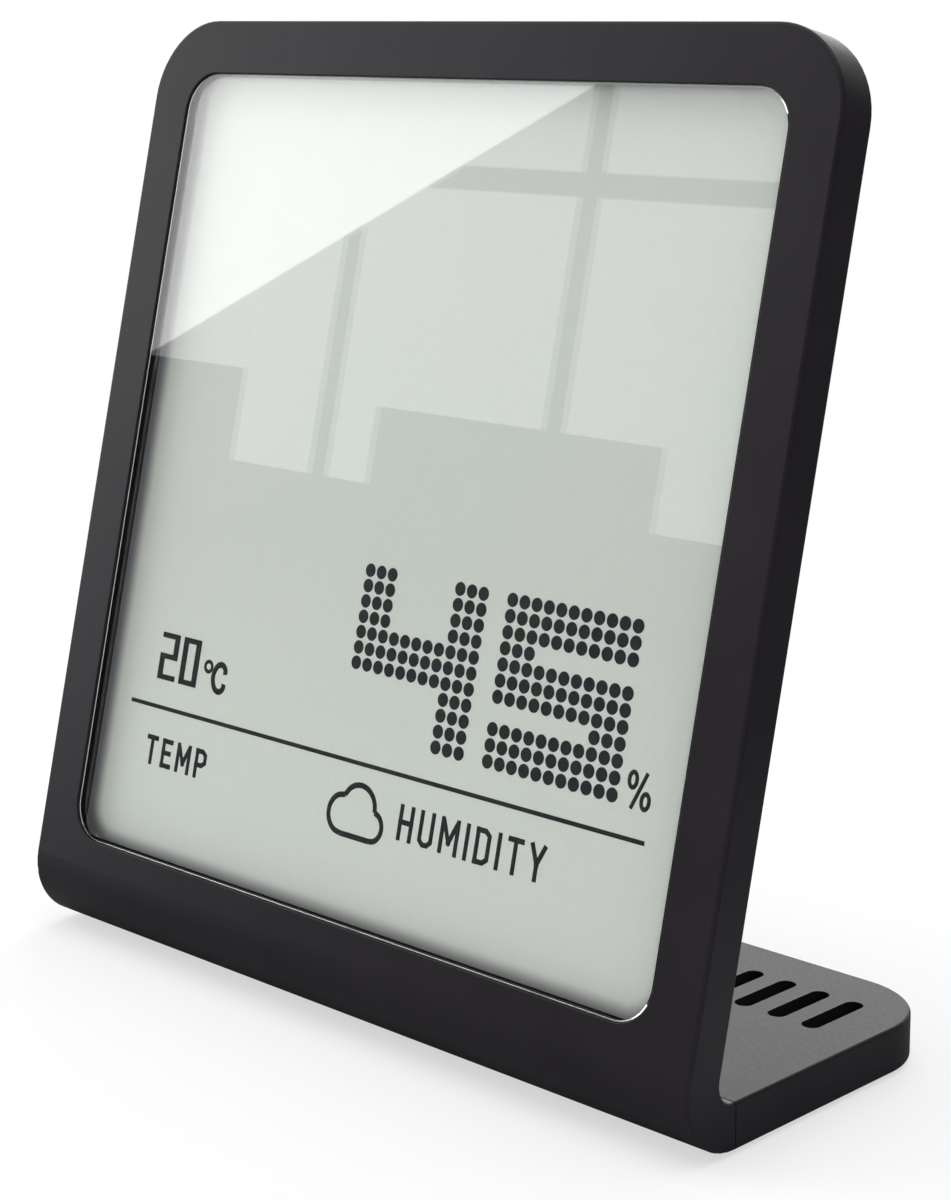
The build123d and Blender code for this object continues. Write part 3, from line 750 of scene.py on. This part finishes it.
# %% A pressed line
def line(points, width, closed=False, handles="AUTO", height=ink_height):
    """A flat line of even width through a few points, smooth or with straight runs."""
    bpy.ops.object.select_all(action="DESELECT")
    bpy.ops.curve.primitive_bezier_curve_add()
    piece = bpy.context.object
    spline = piece.data.splines[0]
    spline.bezier_points.add(len(points) - 2)
    for knot, (x, y) in zip(spline.bezier_points, points):
        knot.handle_left_type = handles
        knot.handle_right_type = handles
        knot.co = (x, y, 0)
    spline.use_cyclic_u = closed
    piece.data.resolution_u = 6
    piece.data.bevel_depth = width / 2
    piece.data.bevel_resolution = 2
    piece.data.use_fill_caps = True
    bpy.ops.object.convert(target="MESH")
    piece = bpy.context.object
    piece.scale.z = 2 * height / width
    bpy.ops.object.transform_apply(location=False, rotation=False, scale=True)
    return piece


def joined(pieces):
    """Several pieces as one."""
    select_only(pieces[0])
    for piece in pieces[1:]:
        piece.select_set(True)
    bpy.ops.object.join()
    return bpy.context.object


def oval(centre, half_width, half_height, count=8):
    """Points round an oval."""
    x, y = centre
    turns = [2 * pi * number / count for number in range(count)]
    return [(x + half_width * cos(turn), y + half_height * sin(turn)) for turn in turns]


def polar(centre, radius, angle):
    """The point at a distance from a centre, at an angle in degrees."""
    x, y = centre
    return x + radius * cos(radians(angle)), y + radius * sin(radians(angle))


def arc(centre, radius, start, end, count=6):
    """Points along an arc, between two angles in degrees."""
    turns = [start + (end - start) * number / count for number in range(count + 1)]
    return [polar(centre, radius, turn) for turn in turns]


# %% [markdown]
# ## Degrees Celsius and per cent
# A ring and a letter make the sign for degrees, and two narrow rings and a slash the one for
# per cent. The letter is one open curve through eight points. Its ends hook in a little, and
# two points above each other keep its back nearly straight.

# %% Degrees Celsius and per cent
degree_centre = (-24.43 * MM, 23.61 * MM)
degree_radius = 0.52 * MM
degree_line = 0.48 * MM
letter_low = 21.34 * MM
letter_high = 24.1 * MM
letter_left = -23.36 * MM
letter_right = -21.82 * MM
letter_middle = (letter_left + letter_right) / 2
letter_turn = 0.62 * MM
letter_gap = 0.9 * MM
letter_line = 0.74 * MM
hook_in = 0.05 * MM
hook_rise = 0.6 * letter_turn
degree = line(oval(degree_centre, degree_radius, degree_radius), degree_line, closed=True)
letter = line(
    [
        (letter_right, letter_high - letter_gap),
        (letter_right - hook_in, letter_high - hook_rise),
        (letter_middle, letter_high),
        (letter_left, letter_high - letter_turn),
        (letter_left, letter_low + letter_turn),
        (letter_middle, letter_low),
        (letter_right - hook_in, letter_low + hook_rise),
        (letter_right, letter_low + letter_gap),
    ],
    letter_line,
)
lay_on_film(joined([degree, letter]), "degree_sign")

ring_centres = [(32.48 * MM, 23.43 * MM), (34.15 * MM, 21.77 * MM)]
ring_half_width = 0.42 * MM
ring_half_height = 0.68 * MM
ring_line = 0.5 * MM
slash_ends = [(32.63 * MM, 20.9 * MM), (34.01 * MM, 24.28 * MM)]
slash_line = 0.48 * MM
rings = [
    line(oval(centre, ring_half_width, ring_half_height), ring_line, closed=True)
    for centre in ring_centres
]
slash = line(slash_ends, slash_line, handles="VECTOR")
lay_on_film(joined([*rings, slash]), "percent_sign")

# %% [markdown]
# ## The weather sign
# The cloud is three round lobes on a flat base. Each lobe is an arc of its own, because one
# smooth curve through all the points would round off the notches where the lobes meet.

# %% Cloud sign
cloud_line = 0.66 * MM
left_lobe = ((-2.2 * MM, 13.05 * MM), 1.88 * MM)
top_lobe = ((-0.15 * MM, 13.95 * MM), 2.25 * MM)
right_lobe = ((1.85 * MM, 12.6 * MM), 1.43 * MM)
lobes = [
    line(arc(*left_lobe, start=270, end=89), cloud_line),
    line(arc(*top_lobe, start=154, end=2), cloud_line),
    line(arc(*right_lobe, start=80, end=-90), cloud_line),
]
base_level = left_lobe[0][1] - left_lobe[1]
base_ends = [(left_lobe[0][0], base_level), (right_lobe[0][0], base_level)]
base = line(base_ends, cloud_line, handles="VECTOR")
lay_on_film(joined([*lobes, base]), "cloud_sign")

# %% [markdown]
# ## The rule
# A fine rule parts the figures from their names. A curve with two points and straight handles
# is all that it needs.

# %% Rule under the figures
rule_level = 18.22 * MM
rule_left = -35.6 * MM
rule_right = 34.8 * MM
rule_line = 0.5 * MM
rule = line([(rule_left, rule_level), (rule_right, rule_level)], rule_line, handles="VECTOR")
lay_on_film(rule, "display_rule")

# %% [markdown]
# ## An alphabet of strokes
# The labels say in plain words what each figure measures. Their narrow capitals are drawn with
# strokes of one width, like the signs above. A small table gives each letter's width as a share
# of its height, and the corners of its runs as shares of both.

# %% Alphabet
narrow, wide = 0.41, 0.55
alphabet = {
    "T": (narrow, [[(0, 1), (1, 1)], [(0.5, 0), (0.5, 1)]]),
    "E": (0.9 * narrow, [[(1, 1), (0, 1), (0, 0), (1, 0)], [(0, 0.52), (0.85, 0.52)]]),
    "M": (wide, [[(0, 0), (0, 1)], [(0.1, 0.9), (0.5, 0.3), (0.9, 0.9)], [(1, 0), (1, 1)]]),
    "P": (
        narrow,
        [[(0, 0), (0, 1), (0.65, 1), (1, 0.87), (1, 0.57), (0.65, 0.44), (0, 0.44)]],
    ),
    "H": (narrow, [[(0, 0), (0, 1)], [(1, 0), (1, 1)], [(0, 0.52), (1, 0.52)]]),
    "U": (narrow, [[(0, 1), (0, 0.13), (0.3, 0), (0.7, 0), (1, 0.13), (1, 1)]]),
    "I": (0.0, [[(0, 0), (0, 1)]]),
    "D": (narrow, [[(0, 0), (0, 1), (0.65, 1), (1, 0.87), (1, 0.13), (0.65, 0), (0, 0)]]),
    "Y": (narrow, [[(0, 1), (0.5, 0.45), (1, 1)], [(0.5, 0), (0.5, 0.45)]]),
    "C": (
        narrow,
        [
            [(1, 0.78), (1, 0.9), (0.7, 1), (0.3, 1), (0, 0.87)]
            + [(0, 0.13), (0.3, 0), (0.7, 0), (1, 0.1), (1, 0.22)]
        ],
    ),
    "F": (0.9 * narrow, [[(1, 1), (0, 1), (0, 0)], [(0, 0.52), (0.85, 0.52)]]),
    "/": (narrow, [[(0, -0.05), (1, 1.05)]]),
    "o": (0.5 * narrow, [[(0, 0.8), (0, 1), (1, 1), (1, 0.8), (0, 0.8)]]),
}

# %% [markdown]
# ## Labels
# Every run is cut into straight strokes. A stroke reaches past a corner by just as much as it
# takes to meet the next one's outer edge, though never by more than its share at a free end.

# %% Labels
stroke = 0.6 * MM
end_share = 0.45
letter_space = 0.19


def run_strokes(corners, width, height):
    """Straight strokes along a run, each long enough to fill the corners that it turns."""
    points = [Vector(corner) for corner in corners]
    ways = [(end - start).normalized() for start, end in zip(points, points[1:])]
    turns = [before.angle(after) for before, after in zip(ways, ways[1:])]
    longest = end_share * width
    past = [longest, *[min(width / 2 * tan(turn / 2), longest) for turn in turns], longest]
    strokes = []
    for number, way in enumerate(ways):
        ends = [points[number] - way * past[number], points[number + 1] + way * past[number + 1]]
        strokes.append(line(ends, width, handles="VECTOR", height=height))
    return strokes


def label(words, left, low, tall, width=stroke, height=ink_height):
    """Narrow capitals drawn with strokes, from their left edge and their base line."""
    across = left + width / 2
    strokes = []
    for capital in words:
        share, runs = alphabet[capital]
        for run in runs:
            corners = [
                (across + x * share * tall, low + width / 2 + y * (tall - width)) for x, y in run
            ]
            strokes += run_strokes(corners, width, height)
        across += share * tall + width + letter_space * tall
    return joined(strokes)


label_low = 12.1 * MM
temperature_tall = 3.14 * MM
humidity_tall = 3.55 * MM
humidity_left = 5.3 * MM
lay_on_film(label("TEMP", two_left, label_low, temperature_tall), "temperature_label")
lay_on_film(label("HUMIDITY", humidity_left, label_low, humidity_tall), "humidity_label")

# %% [markdown]
# ## Marks on the back
# The battery door carries a plus sign for the cell and an arrow for the way it opens. The unit
# button has its two units beside it. They are moulded with the plastic, a quarter of a
# millimetre high, and are laid on with the axes for the back.

# %% Marks on the door and the housing
mark_height = 0.25 * MM
door_back = max(on_panel(v.co)[2] for v in nodes["battery_door"].data.vertices)
door_level = on_panel((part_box("battery_door")[0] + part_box("battery_door")[1]) / 2)[1]
button_level = on_panel((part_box("unit_button")[0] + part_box("unit_button")[1]) / 2)[1]
button_proud = 0.5 * MM
button_back = max(on_panel(v.co)[2] for v in nodes["unit_button"].data.vertices)
print("door mm:", round(door_back / MM, 2), round(door_level / MM, 2))
print("button mm:", round(button_back / MM, 2), round(button_level / MM, 2))

plus_level = door_level + 6.2 * MM
plus_reach = 1.6 * MM
plus_line = 0.8 * MM
level_bar = [(-plus_reach, plus_level), (plus_reach, plus_level)]
upright_bar = [(0.0, plus_level - plus_reach), (0.0, plus_level + plus_reach)]
plus_bars = [
    line(ends, plus_line, handles="VECTOR", height=mark_height)
    for ends in (level_bar, upright_bar)
]

door_centre = (0.0, door_level)
arrow_radius = 10.6 * MM
arrow_line = 0.7 * MM
arrow_start, arrow_end = 215, 325
barb = 1.5 * MM
barb_turns = (50, 130)
shaft_points = arc(door_centre, arrow_radius, arrow_start, arrow_end, count=8)
shaft = line(shaft_points, arrow_line, height=mark_height)
tip = polar(door_centre, arrow_radius, arrow_end)
barb_ends = [polar(tip, -barb, arrow_end + turn) for turn in barb_turns]
head_points = [barb_ends[0], tip, barb_ends[1]]
head = line(head_points, arrow_line, handles="VECTOR", height=mark_height)
door_marks = joined([*plus_bars, shaft, head])
door_marks.location.z = door_back
settle(door_marks, "door_marks", eroded_abs, "door", back_axes)

unit_tall = 2.4 * MM
unit_left = 5.2 * MM
unit_line = 0.4 * MM
unit_low = button_level - unit_tall / 2
unit_marks = label("oC/oF", unit_left, unit_low, unit_tall, unit_line, mark_height)
unit_marks.location.z = button_back - button_proud
settle(unit_marks, "unit_marks", eroded_abs, "case", back_axes)

# %% [markdown]
# ## Camera
# The portrait is taken from the front right, a little above the display. Its centre of view
# lies up and to the left of the picture's middle, as in a picture that was cropped, so the lens
# is shifted by that much and no more.

# %% Camera
picture_width, picture_height = 951, 1200
view_centre = (400, 450)
focal_pixels = 2649.7
camera_place = Vector((177.60, -184.27, 98.16)) * MM
yaw, pitch, roll = radians(45.249), radians(-9.593), radians(-0.374)

bpy.ops.object.camera_add(location=camera_place)
camera = bpy.context.object
look = Vector((-sin(yaw) * cos(pitch), cos(yaw) * cos(pitch), sin(pitch)))
level = Vector((cos(yaw), sin(yaw), 0))
rise = level.cross(look)
right = cos(roll) * level + sin(roll) * rise
top = -sin(roll) * level + cos(roll) * rise
turned = Matrix((right, top, -look)).transposed()
camera.rotation_euler = turned.to_euler()
camera.data.sensor_width = 36.0
camera.data.lens = focal_pixels / picture_height * camera.data.sensor_width
camera.data.shift_x = (picture_width / 2 - view_centre[0]) / picture_height
camera.data.shift_y = (view_centre[1] - picture_height / 2) / picture_height
camera.data.clip_start = 0.01
bpy.context.scene.camera = camera

# %% [markdown]
# ## Light
# A large soft lamp stands in front on the left. Its lower edge is what cuts across the lens as
# a slanting line, so the lamp is placed by that line: two points on the lens are chosen, the
# view through them is mirrored in the pane, and the lamp's edge runs where the two mirrored
# rays arrive.

# %% Key lamp
glare_end = (16.9 * MM, 84.5 * MM)
glare_start = (-39.9 * MM, 54.5 * MM)
lens_depth = 0.2 * MM
lens_point = face_start - outward * lens_depth
mirror_camera = camera_place - 2 * (camera_place - lens_point).dot(outward) * outward


def mirrored(place, reach):
    """Where the mirrored view through a place on the lens arrives, in front of the lens. The
    reach is a multiple of the camera's distance to that place."""
    point = front_axes @ Vector((place[0], place[1], -lens_depth))
    return mirror_camera + (point - mirror_camera) * reach


def area_lamp(name, centre, facing, along, size, radiance):
    """A square lamp of even brightness, turned to face one way with a side along another."""
    bpy.ops.object.light_add(type="AREA", location=centre)
    lamp = bpy.context.object
    lamp.name = name
    back = -facing.normalized()
    side = (along - along.dot(back) * back).normalized()
    lamp.rotation_euler = Matrix((side, back.cross(side), back)).transposed().to_euler()
    lamp.data.shape = "SQUARE"
    lamp.data.size = size
    lamp.data.energy = radiance * pi * size * size
    lamp.visible_camera = False


def edge_lamp(name, first, second, reach, size, radiance):
    """A lamp with an edge on the mirrored view through two places on the lens. It lies on the
    left of someone who looks from the first to the second."""
    ends = [mirrored(first, reach), mirrored(second, reach)]
    middle = (ends[0] + ends[1]) / 2
    edge = (ends[1] - ends[0]).normalized()
    facing = (mirror_camera - middle).normalized()
    centre = middle + facing.cross(edge).normalized() * size / 2
    print(name, "at", [round(v, 3) for v in centre])
    area_lamp(name, centre, facing, edge, size, radiance)


edge_lamp("key lamp", glare_end, glare_start, reach=4.0, size=0.62, radiance=2.15)

# %% [markdown]
# ## The other lamps
# A smaller lamp on the left lights that side of the frame. Its edge runs down the left edge of
# the lens, so the portrait never shows it in the lens. A broad one overhead lights the floor
# and the foot, and one behind draws the edges of the plate.

# %% Left lamp, overhead lamp and back lamp
lens_left = -39.9 * MM
lamp_end = (lens_left, -12 * MM)
edge_lamp("left lamp", glare_start, lamp_end, reach=3.0, size=0.4, radiance=2.4)

sideways = Vector((1, 0, 0))
overhead_place = Vector((0, 0, 1.0))
back_place = Vector((-0.52, 0.78, 0.36))
area_lamp("overhead lamp", overhead_place, -overhead_place, sideways, size=1.2, radiance=1.35)
area_lamp("back lamp", back_place, -back_place, sideways, size=0.7, radiance=2.4)

# %% [markdown]
# ## Flags
# A black gloss surface shows whatever stands around it, so a photographer puts black cards, or
# flags, where its reflections should stay deep. Those in front stand under the lamp's edge, and
# the gaps between them show in the lens as the panes of a window. All of them only show in
# gloss and in glass, and take no light away.


# %% Flags
def card_material(name, colour):
    """A card without any gloss of its own."""
    return new_material(name, Base_Color=linear(colour), Roughness=1.0, Specular_IOR_Level=0.0)[0]


black_card = card_material("black card", "#101010")
grey_card = card_material("grey card", "#929292")


def flag(name, corners, material=black_card):
    """A flat card, from its corners, that only shows in gloss and in glass."""
    bpy.ops.object.select_all(action="DESELECT")
    bpy.ops.mesh.primitive_plane_add(size=1)
    card = bpy.context.object
    card.name = name
    for vertex, corner in zip(card.data.vertices, corners):
        vertex.co = corner
    card.data.materials.append(material)
    card.visible_camera = False
    card.visible_diffuse = False
    card.visible_shadow = False


# %% [markdown]
# ## The window of flags
# Each flag in front is drawn by the corners that it should show on the lens, and stands where
# the mirrored view through them arrives. The same slanting line bounds them above.

# %% Flags in front
slope = (glare_end[1] - glare_start[1]) / (glare_end[0] - glare_start[0])


def glare_level(x):
    """How high the slanting line runs on the lens, at a distance from its middle."""
    return glare_start[1] + slope * (x - glare_start[0])


def glare_across(level):
    """How far from the middle of the lens the slanting line reaches a level."""
    return glare_start[0] + (level - glare_start[1]) / slope


flag_reach = 1.5
low, sill, high = -14 * MM, 45 * MM, 52.6 * MM
left_end, middle_start, middle_end = -24.5 * MM, -4.6 * MM, 31.3 * MM
lens_right, flag_right = 39.9 * MM, 50 * MM
lens_top, top_kink = 85 * MM, 20 * MM
bar_low, bar_top = 74.2 * MM, 76.5 * MM
bars = [(-12.8 * MM, -10.4 * MM), (16.9 * MM, 19.3 * MM)]
cards = {
    "low": [(lens_left, low), (flag_right, low), (lens_left, sill), (flag_right, sill)],
    "left": [(lens_left, sill), (left_end, sill), glare_start, (left_end, glare_start[1])],
    "middle": [(middle_start, sill), (middle_end, sill), (middle_start, high), (middle_end, high)],
    "right": [
        (lens_right, sill),
        (flag_right, sill),
        (lens_right, glare_level(lens_right)),
        (flag_right, glare_level(flag_right)),
    ],
    "top": [
        glare_end,
        (lens_right, lens_top),
        (top_kink, glare_level(top_kink)),
        (lens_right, glare_level(lens_right)),
    ],
    "level bar": [
        (glare_across(bar_low), bar_low),
        (lens_right, bar_low),
        (glare_across(bar_top), bar_top),
        (lens_right, bar_top),
    ],
}
for number, (start, end) in enumerate(bars):
    tops = [min(glare_level(x), lens_top) for x in (start, end)]
    cards[f"upright bar {number}"] = [(start, sill), (end, sill), (start, tops[0]), (end, tops[1])]
for name, corners in cards.items():
    flag(name + " flag", [mirrored(corner, flag_reach) for corner in corners])
print(len(cards), "flags in front")

# %% [markdown]
# ## Three more flags
# The first stands close to the right side of the plate and darkens it. The second stands
# straight ahead and keeps the figures readable from there. The third is grey and lies on the
# floor, where the bend shows it.

# %% Flags round the object
side_place, ahead_place, floor_place = 0.075, -0.35, 0.05 * MM
side_corners = [(side_place, y, z) for z in (-0.02, 0.14) for y in (-0.03, 0.14)]
ahead_corners = [(x, ahead_place, z) for z in (0.0, 0.4) for x in (-0.15, 0.3)]
floor_corners = [(x, y, floor_place) for y in (-0.07, 0.16) for x in (-0.3, 0.055)]
flag("side flag", side_corners)
flag("reading flag", ahead_corners)
flag("floor flag", floor_corners, grey_card)

# %% [markdown]
# ## Floor
# The floor is a plain pale surface. Close to the object it is lit like anything else, so it
# keeps the shadow, and further out it fades to the even white of the background. A fade has
# the distances at which it starts and ends, and its least share of white. Lamps and bounced
# light never meet that white: only what the camera sees, and what gloss and glass show, does.


# %% Floor
def seen_rays(tree):
    """One for the camera's rays, and one for those of gloss and glass."""
    path = add_node(tree, "LightPath")
    sharp = add_node(
        tree,
        "Math",
        {"operation": "MAXIMUM"},
        {0: path.outputs["Is Glossy Ray"], 1: path.outputs["Is Transmission Ray"]},
    )
    return path.outputs["Is Camera Ray"], sharp.outputs[0]


floor_size = 8.0
camera_fade = (0.05, 0.32, 0.6)
gloss_fade = (0.15, 0.5, 0.0)
bpy.ops.object.select_all(action="DESELECT")
bpy.ops.mesh.primitive_plane_add(size=floor_size)
floor = bpy.context.object
floor.name = "floor"
pale_floor, tree, floor_shader = new_material(
    "matt white floor", Base_Color=linear("#fbfbfb"), Roughness=0.9, Specular_IOR_Level=0.0
)
place = add_node(tree, "TexCoord").outputs["Object"]
reach = add_node(tree, "VectorMath", {"operation": "LENGTH"}, {0: place})
seen, shown = seen_rays(tree)
shares = []
for rays_here, (start, end, least) in ((seen, camera_fade), (shown, gloss_fade)):
    fade = add_node(
        tree,
        "MapRange",
        {
            "interpolation_type": "SMOOTHSTEP",
            "From Min": start,
            "From Max": end,
            "To Min": least,
            "To Max": 1.0,
        },
        {"Value": reach.outputs["Value"]},
    )
    shares.append(
        add_node(
            tree, "Math", {"operation": "MULTIPLY"}, {0: fade.outputs["Result"], 1: rays_here}
        )
    )
share = add_node(
    tree, "Math", {"operation": "MAXIMUM"}, {0: shares[0].outputs[0], 1: shares[1].outputs[0]}
)
white = add_node(tree, "Emission", {"Color": (1, 1, 1, 1), "Strength": 1.0})
mix = add_node(
    tree,
    "MixShader",
    links={0: share.outputs[0], 1: floor_shader.outputs[0], 2: white.outputs[0]},
)
tree.links.new(mix.outputs[0], tree.nodes["Material Output"].inputs["Surface"])
floor.data.materials.append(pale_floor)

# %% [markdown]
# ## Surroundings
# The world is an even white. The camera, gloss and glass meet it at full strength, and as a
# light it has half of that, which fills the shadows softly.

# %% World
ambient = 0.5
world = bpy.data.worlds.new("studio")
bpy.context.scene.world = world
world.use_nodes = True
tree = world.node_tree
background = tree.nodes["Background"]
background.inputs["Color"].default_value = (1, 1, 1, 1)
seen, shown = seen_rays(tree)
either = add_node(tree, "Math", {"operation": "MAXIMUM"}, {0: seen, 1: shown})
strength = add_node(
    tree, "MapRange", {"To Min": ambient, "To Max": 1.0}, {"Value": either.outputs[0]}
)
tree.links.new(strength.outputs["Result"], background.inputs["Strength"])
bpy.context.scene.view_settings.view_transform = "Standard"
